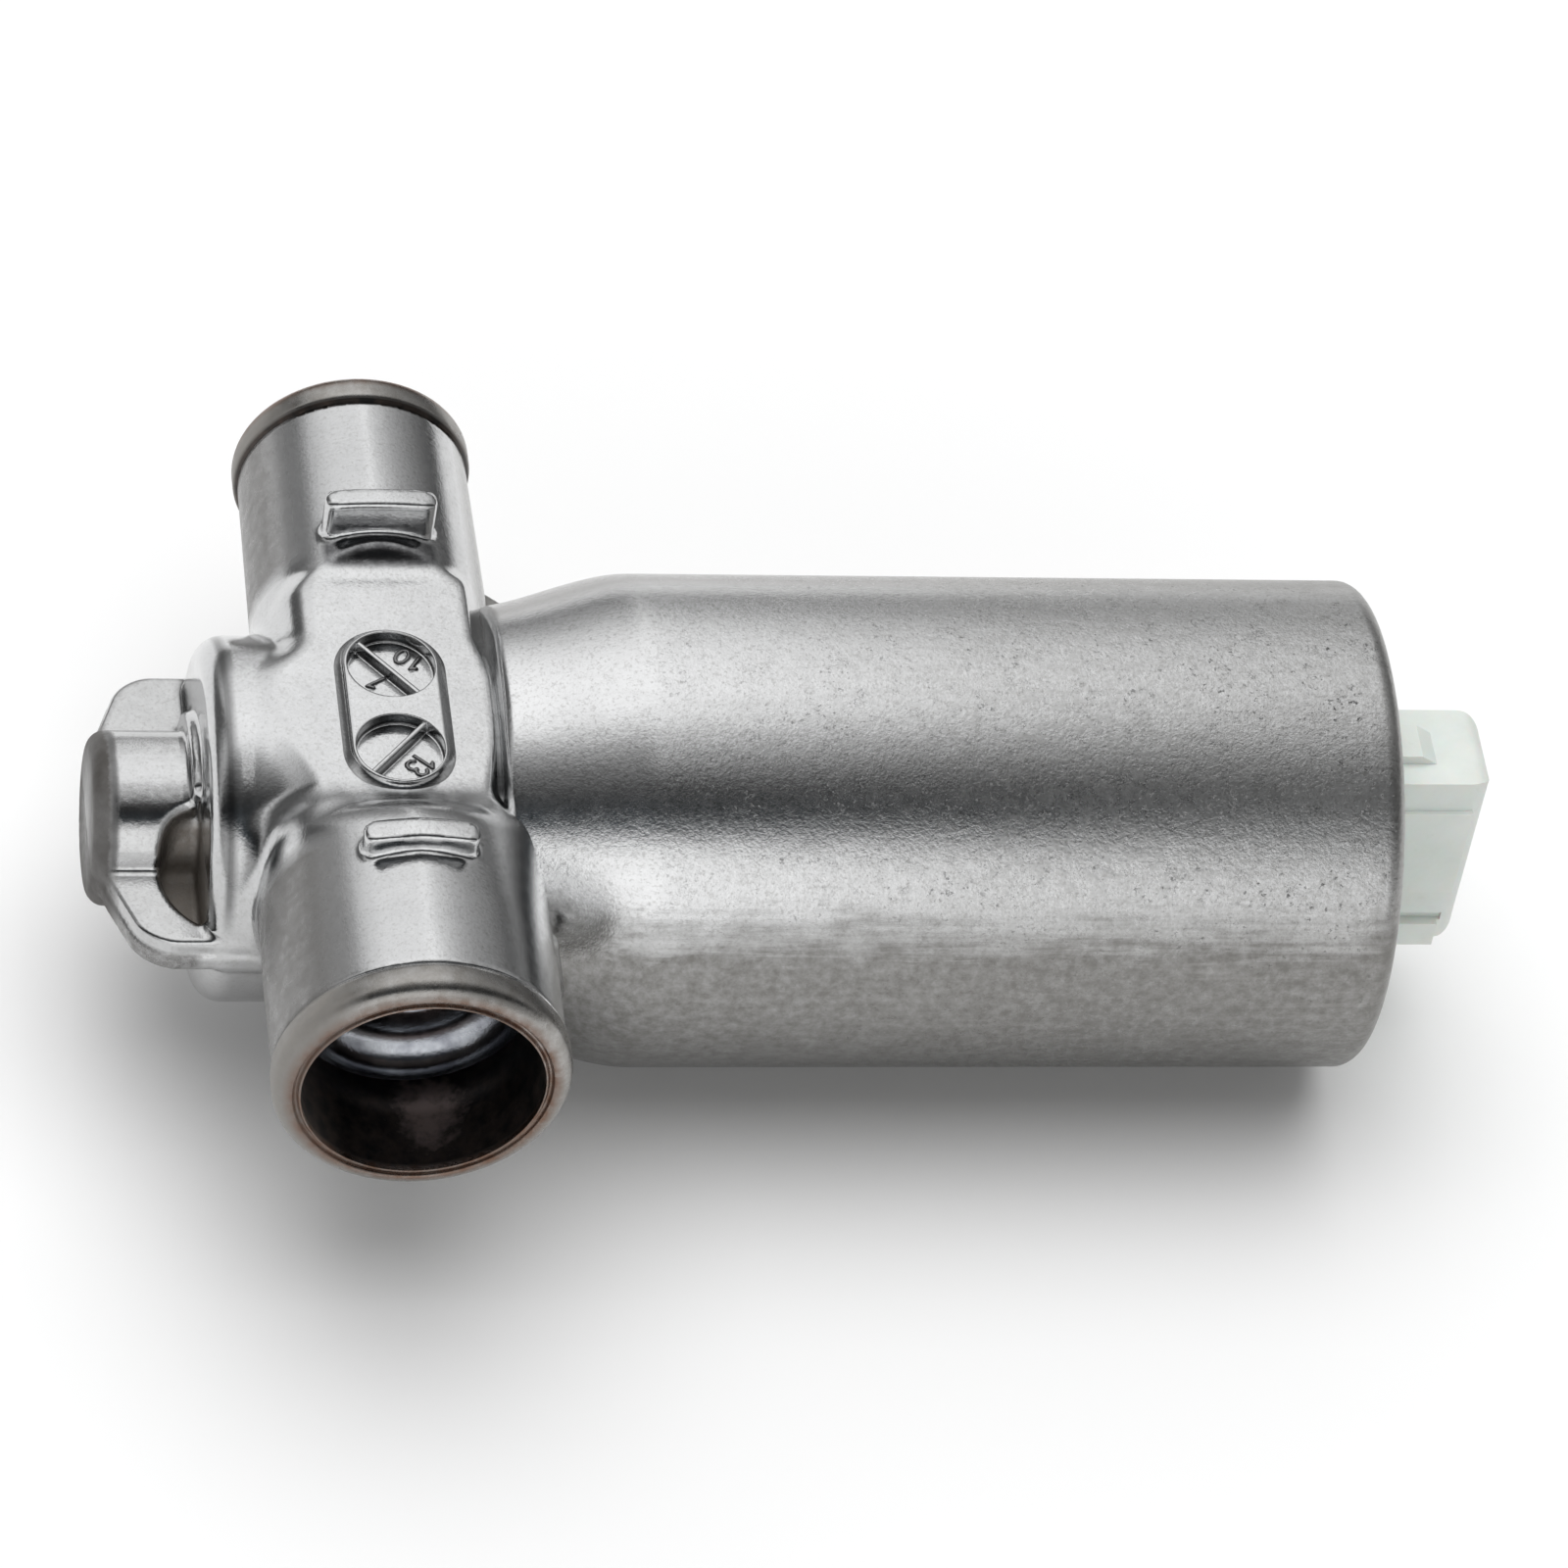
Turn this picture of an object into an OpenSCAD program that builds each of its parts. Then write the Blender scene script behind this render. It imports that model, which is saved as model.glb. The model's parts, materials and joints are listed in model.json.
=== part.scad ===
// Idle air control valve with a rotary slider, millimetres.
// X runs along the shaft towards the plug, -Y is the wide nipple, +Z is the side with the date dials.
// The origin is where the shaft axis passes under the nipple axis.

/* [Barrel] */
// outside diameter of the motor barrel
barrel_d = 50; // [48:0.5:56]
// length of the cylindrical part of the barrel
barrel_len = 75.3; // [74:0.5:100]
// length of the swept shoulder
shoulder_len = 14.5; // [13:0.5:17]
// diameter where the shoulder starts
shoulder_d = 43.4; // [42:0.2:46]
// rounding of the open barrel edge
rim_r = 2; // [1:0.25:2.5]
// wall of the barrel
barrel_wall = 2.5; // [2:0.1:3]

/* [Chamber] */
// outside diameter of the valve chamber
chamber_d = 36.8; // [36:0.2:40]
// closed end of the chamber, left of the nipple axis
chamber_left = 18.5; // [18:0.1:22]
// open end of the chamber, right of the nipple axis
chamber_right = 8.2; // [8:0.1:9]
// bore the slider turns in
chamber_bore_d = 29.2; // [28.4:0.2:30]
// rounding of the closed end
chamber_round = 4.5; // [3:0.5:5]
// width of the groove before the shoulder
neck_gap = 2; // [1.6:0.1:2.6]
// diameter of the groove
neck_d = 34.8; // [34.4:0.1:35.4]

/* [Pad with date dials] */
// pad edge left of the nipple axis
pad_left = 9.8; // [8:0.2:12]
// pad edge towards the slim nipple
pad_back = 15.5; // [13:0.5:17]
// pad edge towards the wide nipple
pad_front = 15; // [12:0.5:17]
// width of the oval boss
oval_w = 9.5; // [9.2:0.1:11]
// height of the oval boss
oval_h = 1; // [0.6:0.1:1.5]
// diameter of one dial
dial_d = 8.9; // [7:0.1:9]
// distance between the two dials
dial_pitch = 11.2; // [10:0.1:13]
// depth of a dial
dial_deep = 1.5; // [0.8:0.1:1.6]

/* [Nipples] */
// height of the nipple axis over the shaft axis
nipple_rise = 7.9; // [7:0.1:8.4]
// outside diameter of the wide nipple
wide_d = 28.9; // [28:0.1:30]
// diameter at its root, from where it widens up to the hose stop
wide_root_d = 28; // [27.4:0.1:28.4]
// diameter over its end bead
wide_bead_d = 29.8; // [29.6:0.1:31]
// its bore
wide_bore_d = 23.9; // [22:0.1:25]
// distance from the shaft axis to its mouth
wide_len = 43.1; // [40:0.5:48]
// outside diameter of the slim nipple
slim_d = 24; // [23:0.1:25]
// diameter at its root, from where it narrows down to the hose stop
slim_root_d = 24.5; // [24.4:0.1:25]
// diameter over its end bead
slim_bead_d = 24.8; // [24.4:0.1:26]
// its bore
slim_bore_d = 19.8; // [18:0.1:20.6]
// distance from the shaft axis to its mouth
slim_len = 43.7; // [40:0.5:48]
// width of an end bead
bead_w = 4.2; // [3:0.1:5]
// round port between a nipple and the chamber
port_d = 10.4; // [9:0.1:11]
// length of a hose stop
stop_len = 11.4; // [9:0.2:13]
// outer face of the wide nipple's hose stop
wide_stop = 25.8; // [24:0.1:27]
// outer face of the slim nipple's hose stop
slim_stop = 23.3; // [23:0.1:26]

/* [End boss] */
// diameter of the bearing boss on the closed end
boss_d = 17.6; // [17:0.1:19]
// its length beyond the chamber
boss_len = 10.9; // [10.8:0.1:13]
// half width of the web on both sides of it
web_half = 18.2; // [16:0.2:18.4]
// web height over and under the parting plane
web_up = 1.6; // [1:0.1:3]
// the same below
web_down = 2.5; // [1.5:0.1:3]

/* [Shaft and slider] */
// shaft diameter
shaft_d = 6; // [5.6:0.1:6.2]
// angle that the slider covers
slider_arc = 58; // [54:1:62]
// middle of the slider over the wide nipple side, at rest
slider_rest = 7; // [3:1:10]
// running clearance on the radius
run_gap = 0.05; // [0.03:0.01:0.08]

/* [Motor] */
// wall of the iron ring
ring_wall = 2.9; // [2.5:0.1:3.2]
// thickness of a magnet
magnet_t = 4; // [3.5:0.1:4.2]
// air gap between magnets and armature
air_gap = 0.7; // [0.5:0.1:0.9]
// thickness of the armature web
core_web = 10; // [9:0.5:11]
// diameter over the contact segments
contact_d = 16.8; // [16:0.2:17.4]

/* [Plug] */
// plug width
plug_w = 10.4; // [10:0.2:12]
// plug height
plug_h = 23.2; // [22:0.2:25]
// how far the plug stands out of the barrel
plug_out = 12.3; // [11:0.1:14]
// wall of the plug
plug_wall = 1.3; // [1:0.1:1.5]

/* [Hidden] */
$fn = 96;
barrel_r = barrel_d / 2;
chamber_r = chamber_d / 2;
cavity_r = barrel_r - barrel_wall;
neck_r = neck_d / 2;
bore_r = chamber_bore_d / 2;
shaft_r = shaft_d / 2;
slider_r = bore_r - run_gap;
shoulder_x = chamber_right + neck_gap;
barrel_x = shoulder_x + 0.8 + shoulder_len;
barrel_end = barrel_x + barrel_len;
plate_x = chamber_right - 1.6;
plate_t = 3.8;
plate_r = bore_r + 0.9;
clip_x = plate_x + plate_t;
motor_x = shoulder_x + 2.8;
motor_r = barrel_r - 5.2;
ring_x = barrel_x - 1.5;
ring_end = barrel_end - 15.4;
ring_in = cavity_r - ring_wall;
magnet_in = ring_in - magnet_t;
magnet_x = ring_x + 3;
magnet_end = ring_end - 11.6;
core_r = magnet_in - air_gap;
core_x = magnet_x + 5;
core_end = magnet_end - 7;
coil_over = 4.5;
coil_in = shaft_r + 1.2;
coil_out = core_r - 5.5;
coil_t = round(10 * (sqrt(pow(core_r - 1.75, 2) - pow(coil_out, 2)) - core_web / 2)) / 10;
contact_r = contact_d / 2;
hub_r = contact_r - 1.4;
hub_x = core_end + coil_over + 1.5;
hub_end = ring_end - 0.8;
brush_x = (hub_x + hub_end) / 2;
brush_wide = 3.6;
brush_long = 5;
brush_tip = contact_r + 0.1;
brush_end = brush_tip + 6;
angles = [90, 180, 270];
brush_plate_t = 3.4;
bearing_x = ring_end + 0.8;
bearing_w = 6;
ball_pitch = 6.2;
ball_r = 1.7;
bearing_r = ball_pitch + 3.3;
race_out = ball_pitch + 1.2;
race_in = ball_pitch - 1.2;
seat_end = bearing_x + bearing_w;
cap_x = barrel_end - 5.4;
lip_x = barrel_end - 1.6;
plug_end = barrel_end + plug_out;
blade_w = 2.8;
blade_t = 0.8;
leg_r = brush_end + 0.5 + blade_t / 2;
pin_pitch = 6.5;
boss_x = -chamber_left - boss_len;
bush_x = -chamber_left - 7;
bush_len = 8;
bush_r = shaft_r + 2.5;
shaft_left = bush_x - 0.3;
shaft_end = seat_end + 1.4;
seal_r = shaft_r + 3.5;
slider_x = -7.5;
slider_end = plate_x - 0.5;
hub_left = -12;
pin_x = -9.7;
oval_x = -0.35;
oval_y = -2.35;
wide_step = 29;
slim_step = 29;
collar_t = 1.3;
cutter = 2 * chamber_d;
magnet_arc = 126;
magnet_clip_arc = 53;
contact_arc = 85;
snap_ring_arc = 318;
shaft_clip_arc = 290;

function arc_pts(c, r, a0, a1, n) = [for (i = [0:n]) let (a = a0 + (a1 - a0) * i / n)
  [c[0] + r * cos(a), c[1] + r * sin(a)]];

// radius of the shoulder at a share of its length
function sweep_r(t) = shoulder_d / 2 + (barrel_r - shoulder_d / 2) * t * (0.81 + t * (1.38 - 1.19 * t));

// cylinder along X from x0 to x1
module rod(x0, x1, r) {
  translate([x0, 0, 0]) rotate([0, 90, 0]) cylinder(h = x1 - x0, r = r);
}

// ring along X
module tube(x0, x1, r, ri) {
  difference() {
    rod(x0, x1, r);
    rod(x0 - 1, x1 + 1, ri);
  }
}

// solid of revolution about X, points are [radius, x]
module turned(pts) {
  rotate([0, 90, 0]) rotate_extrude() polygon(pts);
}

// block given by its two corners
module span(a, b) {
  translate(a) cube(b - a);
}

// sector of a ring about X, centred on an angle from +Y towards +Z
module sector(x0, x1, r, ri, mid, arc) {
  translate([x0, 0, 0]) rotate([mid - arc / 2, 0, 0]) rotate([90, 0, 90])
    rotate_extrude(angle = arc) translate([ri, 0]) square([r - ri, x1 - x0]);
}

// closed end, chamber, groove, shoulder and barrel as one outline
module outer_turned() {
  turned(concat(
    [[0, -chamber_left]],
    arc_pts([chamber_r - chamber_round, chamber_round - chamber_left], chamber_round, -90, 0, 10),
    [[chamber_r, chamber_right], [neck_r, chamber_right + 0.4], [neck_r, shoulder_x]],
    arc_pts([shoulder_d / 2 - 1.2, shoulder_x + 1.2], 1.2, -90, -20, 6),
    [for (i = [0:10]) [sweep_r(i / 10), shoulder_x + 1.2 + (shoulder_len - 0.4) * i / 10]],
    arc_pts([barrel_r - rim_r, barrel_end - rim_r], rim_r, 0, 90, 8),
    [[0, barrel_end]]));
}

// one nipple with its bead, along +Z from the shaft axis, a cone from its root to its hose stop
module nipple(d, root_d, bead_d, len, stop, start, round) {
  turn_r = d / 2;
  root_r = root_d / 2;
  bead_r = bead_d / 2;
  rotate_extrude() polygon(concat(
    [[0, start]],
    arc_pts([root_r - round, start + round], round, -90, 0, 8),
    [[turn_r, stop + 0.1], [turn_r, len - bead_w - 0.6], [bead_r, len - bead_w]],
    arc_pts([bead_r - 0.9, len - 0.9], 0.9, 0, 90, 6),
    [[0, len]]));
}

module wide_place() {
  translate([0, 0, nipple_rise]) rotate([90, 0, 0]) children();
}

module slim_place() {
  translate([0, 0, nipple_rise]) rotate([-90, 0, 0]) children();
}

// oval boss outline on the pad
module oval(w, h) {
  for (s = [-1, 1])
    translate([oval_x, oval_y + s * dial_pitch / 2, chamber_r - 1]) cylinder(h = 1 + h, d = w);
  translate([oval_x - w / 2, oval_y - dial_pitch / 2, chamber_r - 1]) cube([w, dial_pitch, 1 + h]);
}

// rib across a dial
module dial_rib(s, turn) {
  translate([oval_x, oval_y + s * dial_pitch / 2, chamber_r + oval_h - dial_deep]) rotate(turn)
    translate([-dial_d / 2 - 0.1, -0.65, -0.2]) cube([dial_d + 0.2, 1.3, dial_deep]);
}

// web beside the bearing boss, with the pocket on the wide nipple side
module end_web() {
  left = boss_x + 1.1;
  difference() {
    translate([0, 0, -web_down]) linear_extrude(web_up + web_down) polygon([
      [left, -8.8], [left + 2.9, 1.6 - web_half], [left + 4.6, -web_half], [-15, -web_half],
      [-15, web_half], [left + 4.6, web_half], [left + 2.9, web_half - 1.6], [left, 8.8]]);
    translate([-14.4, -8.8, web_up - 2.6]) cylinder(h = 5, r = 8.4);
  }
}

// hose stop standing across a nipple
module hose_stop(y0, y1, z0, z1) {
  r = (y1 - y0) / 2;
  for (s = [-1, 1])
    translate([s * (stop_len / 2 - r), y0 + r, z0]) cylinder(h = z1 - z0, r = r, $fn = 48);
  span([r - stop_len / 2, y0, z0], [stop_len / 2 - r, y1, z1]);
}

// bores of the housing from the barrel side
module cavity() {
  rod(bush_x - 1, -chamber_left + 4, bush_r);
  rod(3.2 - chamber_left, barrel_end + 1, bore_r);
  rod(plate_x, barrel_end + 1, plate_r);
  rod(clip_x, clip_x + 1.2, plate_r + 0.9);
  rod(motor_x, ring_x + 1, motor_r);
  rod(ring_x, lip_x, cavity_r);
  rod(lip_x - 1, barrel_end + 1, cavity_r - 1.7);
}

module valve_housing() {
  color([0.72, 0.72, 0.7]) difference() {
    union() {
      outer_turned();
      turned(concat([[0, boss_x]], arc_pts([boss_d / 2 - 1.8, boss_x + 1.8], 1.8, -90, 0, 6),
        [[boss_d / 2, -chamber_left - collar_t], [boss_d / 2 + 1.5, -chamber_left - collar_t],
         [boss_d / 2 + 1.9, 0.4 - chamber_left - collar_t], [boss_d / 2 + 1.9, 0.5 - chamber_left],
         [0, 0.5 - chamber_left]]));
      end_web();
      // pad, cut back to the arch under the slim nipple's stop
      difference() {
        union() {
          span([-pad_left, -pad_front, 0], [chamber_right, pad_back, chamber_r]);
          slim_place() nipple(slim_d, slim_root_d, slim_bead_d, slim_len, slim_stop, 2, 1);
        }
        translate([-cutter / 2, -1, chamber_r]) cube([cutter, pad_back + 1, 20]);
        translate([0, pad_back, chamber_r + 8.9]) rotate([0, 90, 0]) cylinder(h = cutter, r = 8.9, center = true);
      }
      // wide nipple, its crest set back from the dials
      difference() {
        wide_place() nipple(wide_d, wide_root_d, wide_bead_d, wide_len, wide_stop, 9, 3.5);
        translate([-cutter / 2, -pad_front + 1, chamber_r]) cube([cutter, pad_front, 20]);
        translate([0, -pad_front + 1, chamber_r + 5]) rotate([0, 90, 0]) cylinder(h = cutter, r = 5, center = true);
      }
      hose_stop(slim_stop - 2.4, slim_stop, nipple_rise + 10, nipple_rise + slim_d / 2 + 3.9);
      hose_stop(-wide_stop, 3.4 - wide_stop, nipple_rise + 12, nipple_rise + wide_d / 2 + 2.8);
      oval(oval_w, oval_h);
      // small gusset between the slim nipple and the shoulder
      translate([0, 0, 4]) linear_extrude(3) polygon([[9, 14], [9, 26.4], [11.6, 26.2], [16.5, 22], [14, 14]]);
    }
    cavity();
    wide_place() translate([0, 0, wide_step]) cylinder(h = 30, d = wide_bore_d);
    slim_place() translate([0, 0, slim_step]) cylinder(h = 30, d = slim_bore_d);
    wide_place() cylinder(h = 40, d = port_d);
    slim_place() cylinder(h = 40, d = port_d);
    difference() {
      for (s = [-1, 1])
        translate([oval_x, oval_y + s * dial_pitch / 2, chamber_r + oval_h - dial_deep])
          cylinder(h = 5, d = dial_d);
      dial_rib(1, -54);
      dial_rib(-1, 51);
    }
  }
}

// segment that covers the port, its hub and two arms
module rotary_slider() {
  mid = 180 - slider_rest;
  color([0.6, 0.6, 0.62]) difference() {
    union() {
      rod(hub_left, slider_end, shaft_r + 2.2);
      sector(slider_x, slider_end, slider_r, slider_r - 1.9, mid, slider_arc);
      sector(slider_x, slider_x + 2, slider_r - 1, shaft_r + 1, mid, 30);
      sector(slider_end - 2, slider_end, slider_r - 1, shaft_r + 1, mid, 30);
    }
    rod(hub_left - 1, slider_end + 1, shaft_r);
    translate([pin_x, 0, 0]) cylinder(h = 20, r = 1, center = true, $fn = 48);
  }
}

module slider_pin() {
  color([0.55, 0.55, 0.57]) translate([pin_x, 0, 0])
    cylinder(h = 2 * shaft_r + 4.2, r = 1, center = true, $fn = 48);
}

module armature_shaft() {
  color([0.7, 0.7, 0.72]) difference() {
    rod(shaft_left, shaft_end, shaft_r);
    translate([pin_x, 0, 0]) cylinder(h = 20, r = 1, center = true, $fn = 48);
    tube(seat_end + 0.2, seat_end + 1, shaft_r + 1, shaft_r - 0.5);
  }
}

module end_bush() {
  color([0.66, 0.52, 0.3]) tube(bush_x, bush_x + bush_len, bush_r, shaft_r + run_gap);
}

// wall between chamber and motor
module partition_plate() {
  color([0.68, 0.68, 0.68]) difference() {
    rod(plate_x, clip_x, plate_r);
    rod(plate_x - 1, clip_x + 1, shaft_r + 0.5);
    rod(plate_x + 0.8, clip_x + 1, seal_r);
  }
}

module shaft_seal() {
  color([0.1, 0.1, 0.1]) tube(plate_x + 0.8, clip_x, seal_r, shaft_r + run_gap);
}

// snap ring with open ends
module partition_ring() {
  color([0.5, 0.5, 0.52]) sector(clip_x, clip_x + 1.1, plate_r + 0.8, plate_r - 1.6, 90, snap_ring_arc);
}

module flux_ring() {
  color([0.45, 0.45, 0.47]) tube(ring_x, ring_end, cavity_r, ring_in);
}

module magnet_front() {
  color([0.2, 0.2, 0.21]) sector(magnet_x, magnet_end, ring_in, magnet_in, 180, magnet_arc);
}

module magnet_back() {
  color([0.2, 0.2, 0.21]) sector(magnet_x, magnet_end, ring_in, magnet_in, 0, magnet_arc);
}

// two bowed springs that spread the magnets
module magnet_clips() {
  color([0.6, 0.6, 0.62]) for (a = [90, 270]) {
    sector(magnet_x + 1, magnet_end - 1, ring_in, ring_in - 0.8, a, magnet_clip_arc);
    for (s = [-1, 1])
      sector(magnet_x + 2, magnet_end - 2, ring_in - 0.4, ring_in - 3, a + s * (magnet_clip_arc / 2 - 1.7), 2.2);
  }
}

// laminated core with two pole arcs joined by a web
module armature_core() {
  slot_y = coil_out + 0.1;
  color([0.35, 0.35, 0.37]) difference() {
    rod(core_x, core_end, core_r);
    span([core_x - 1, -slot_y, core_web / 2], [core_end + 1, slot_y, core_r + 1]);
    span([core_x - 1, -slot_y, -core_r - 1], [core_end + 1, slot_y, -core_web / 2]);
    rod(core_x - 1, core_end + 1, shaft_r);
  }
}

// one coil wound round the web beside the shaft
module coil(y0, y1) {
  h = core_web / 2;
  x0 = core_x - coil_over;
  x1 = core_end + coil_over;
  difference() {
    union() {
      span([x0 + 2, y0, -h - coil_t], [x1 - 2, y1, h + coil_t]);
      span([x0, y0, 2 - h - coil_t], [x1, y1, h + coil_t - 2]);
      for (sx = [x0 + 2, x1 - 2])
        for (sz = [-1, 1])
          translate([sx, y0, sz * (h + coil_t - 2)]) rotate([-90, 0, 0])
            cylinder(h = y1 - y0, r = 2, $fn = 48);
    }
    span([core_x, y0 - 1, -h], [core_end, y1 + 1, h]);
  }
}

module winding_front() {
  color([0.6, 0.3, 0.14]) coil(-coil_out, -coil_in);
}

module winding_back() {
  color([0.6, 0.3, 0.14]) coil(coil_in, coil_out);
}

module contact_carrier() {
  color([0.25, 0.16, 0.1]) difference() {
    union() {
      rod(hub_x, hub_end, hub_r);
      rod(hub_x, hub_x + 1.2, contact_r + 0.8);
    }
    rod(hub_x - 1, hub_end + 1, shaft_r);
  }
}

module contact(i) {
  color([0.72, 0.42, 0.2]) sector(hub_x + 1.2, hub_end, contact_r, hub_r, angles[i], contact_arc);
}

module contact_1() {
  contact(0);
}

module contact_2() {
  contact(1);
}

module contact_3() {
  contact(2);
}

// places a piece drawn along +Y at the angle of one brush
module at_brush(i) {
  rotate([angles[i], 0, 0]) children();
}

module brush(i) {
  color([0.12, 0.12, 0.12]) at_brush(i) difference() {
    span([brush_x - brush_long / 2, contact_r - 0.5, -brush_wide / 2],
      [brush_x + brush_long / 2, brush_end, brush_wide / 2]);
    rod(brush_x - 10, brush_x + 10, brush_tip);
  }
}

module brush_1() {
  brush(0);
}

module brush_2() {
  brush(1);
}

module brush_3() {
  brush(2);
}

// leaf spring that presses a brush, its foot on the leg of the terminal
module brush_spring(i) {
  color([0.75, 0.6, 0.35]) at_brush(i) {
    span([brush_x - 2, brush_end, -1.4], [ring_end, brush_end + 0.5, 1.4]);
  }
}

module brush_spring_1() {
  brush_spring(0);
}

module brush_spring_2() {
  brush_spring(1);
}

module brush_spring_3() {
  brush_spring(2);
}

// plate with three brush guides and the seat of the rear bearing
module brush_plate() {
  half = brush_wide / 2;
  color([0.12, 0.12, 0.13]) difference() {
    union() {
      rod(ring_end, ring_end + brush_plate_t, cavity_r);
      rod(ring_end, seat_end, bearing_r + 2);
      for (i = [0:2])
        at_brush(i) span([brush_x - brush_long / 2 - 1.2, contact_r + 1.4, -half - 1.4],
          [ring_end + 1, brush_end - 1.2, half + 1.4]);
    }
    rod(bearing_x, seat_end + 1, bearing_r);
    rod(ring_end - 1, seat_end, bearing_r - 2.4);
    for (i = [0:2])
      at_brush(i) {
        span([brush_x - brush_long / 2, contact_r - 1, -half], [brush_x + brush_long / 2, brush_end, half]);
        span([ring_end - 0.5, leg_r - blade_t / 2, -blade_w / 2],
          [seat_end, leg_r + blade_t / 2, blade_w / 2]);
      }
  }
}

module bearing_outer() {
  color([0.62, 0.62, 0.64]) difference() {
    tube(bearing_x, seat_end, bearing_r, race_out);
    translate([bearing_x + bearing_w / 2, 0, 0]) rotate([0, 90, 0])
      rotate_extrude() translate([ball_pitch, 0]) circle(r = ball_r + 0.2, $fn = 32);
  }
}

module bearing_inner() {
  color([0.66, 0.66, 0.68]) difference() {
    tube(bearing_x, seat_end, race_in, shaft_r);
    translate([bearing_x + bearing_w / 2, 0, 0]) rotate([0, 90, 0])
      rotate_extrude() translate([ball_pitch, 0]) circle(r = ball_r + 0.2, $fn = 32);
  }
}

module bearing_balls() {
  color([0.8, 0.8, 0.82]) for (i = [0:6])
    translate([bearing_x + bearing_w / 2, ball_pitch * cos(i * 360 / 7), ball_pitch * sin(i * 360 / 7)])
      sphere(r = ball_r, $fn = 32);
}

module bearing_cage() {
  color([0.7, 0.55, 0.3]) difference() {
    tube(bearing_x + 0.6, seat_end - 0.6, ball_pitch + 0.5, ball_pitch - 0.5);
    for (i = [0:6])
      translate([bearing_x + bearing_w / 2, 0, 0]) rotate([i * 360 / 7 - 90, 0, 0])
        cylinder(h = 20, r = ball_r, $fn = 32);
  }
}

module shaft_clip() {
  color([0.5, 0.5, 0.52]) sector(seat_end + 0.2, seat_end + 1, shaft_r + 1.6, shaft_r - 0.5, 90, shaft_clip_arc);
}

module wave_washer() {
  color([0.55, 0.55, 0.57]) tube(seat_end, seat_end + 0.5, bearing_r - 0.2, bearing_r - 2.6);
}

// one side of the plug, its two outer corners rounded
module plug_side(w, r) {
  hull() {
    translate([lip_x - 1, -w / 2]) square([1, w]);
    for (s = [-1, 1])
      translate([plug_end - r, s * (w / 2 - r)]) circle(r = r, $fn = 48);
  }
}

// nylon cap: skirt, disc with a seal groove and the plug
module connector_cap() {
  color([0.86, 0.9, 0.86]) difference() {
    union() {
      tube(ring_end + brush_plate_t, cap_x + 1, cavity_r, cavity_r - 1.9);
      rod(cap_x, lip_x, cavity_r);
      rod(lip_x - 1, barrel_end - 0.4, cavity_r - 1.9);
      intersection() {
        translate([0, 0, -plug_h / 2]) linear_extrude(plug_h) plug_side(plug_w, 2.5);
        translate([0, plug_w / 2, 0]) rotate([90, 0, 0]) linear_extrude(plug_w) plug_side(plug_h, 1.8);
      }
      tube(seat_end + 0.5, cap_x + 1, bearing_r, bearing_r - 2);
      // guide rib, ledge and latch on the outside of the plug
      span([lip_x, -plug_w / 2 - 0.6, -plug_h / 2 - 0.55], [barrel_end + 10, 1 - plug_w / 2, 2.6 - plug_h / 2]);
      span([lip_x, -plug_w / 2 - 0.5, 7.4 - plug_h / 2], [plug_end - 1.6, 0.5 - plug_w / 2, plug_h / 2 - 4]);
      translate([barrel_end - 0.6, 2, plug_h / 2 - 0.1]) rotate([90, 0, 0]) linear_extrude(4.4)
        polygon([[0, 0], [7.4, 0], [5.6, 1.2], [0, 1.2]]);
    }
    // groove over the guide rib
    span([barrel_end, -plug_w / 2 - 1, 2.6 - plug_h / 2], [barrel_end + 10.4, 0.5 - plug_w / 2, 3.7 - plug_h / 2]);
    span([barrel_end + 0.8, plug_wall - plug_w / 2, plug_wall - plug_h / 2],
      [plug_end + 1, plug_w / 2 - plug_wall, plug_h / 2 - plug_wall]);
    tube(cap_x + 1.2, cap_x + 3.1, cavity_r + 1, cavity_r - 1.8);
    for (i = [-1:1])
      span([cap_x - 2, -blade_w / 2, i * pin_pitch - blade_t / 2],
        [plug_end, blade_w / 2, i * pin_pitch + blade_t / 2]);
    span([cap_x - blade_t, -blade_w / 2, -leg_r - 1], [cap_x, blade_w / 2, leg_r + 1]);
    span([cap_x - blade_t, -leg_r - 1, -blade_w / 2], [cap_x, 0, blade_w / 2]);
  }
}

module cap_seal() {
  color([0.08, 0.08, 0.08]) translate([cap_x + 2.15, 0, 0]) rotate([0, 90, 0])
    rotate_extrude() translate([cavity_r - 0.9, 0]) circle(r = 0.88, $fn = 32);
}

// blade in the plug, foot on the cap and leg down to its brush spring
module terminal(i) {
  z = (1 - i) * pin_pitch;
  tip = plug_end - 3;
  foot = cap_x - blade_t;
  color([0.78, 0.74, 0.62]) {
    span([foot, -blade_w / 2, z - blade_t / 2], [tip, blade_w / 2, z + blade_t / 2]);
    if (i == 1) {
      span([foot, -leg_r - blade_t / 2, -blade_w / 2], [cap_x, 0, blade_w / 2]);
      span([ring_end - 0.5, -leg_r - blade_t / 2, -blade_w / 2], [cap_x, -leg_r + blade_t / 2, blade_w / 2]);
    } else {
      s = 1 - i;
      span([foot, -blade_w / 2, min(z, s * (leg_r + blade_t / 2))],
        [cap_x, blade_w / 2, max(z, s * (leg_r + blade_t / 2))]);
      span([ring_end - 0.5, -blade_w / 2, s * leg_r - blade_t / 2], [cap_x, blade_w / 2, s * leg_r + blade_t / 2]);
    }
  }
}

module terminal_1() {
  terminal(0);
}

module terminal_2() {
  terminal(1);
}

module terminal_3() {
  terminal(2);
}

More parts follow.
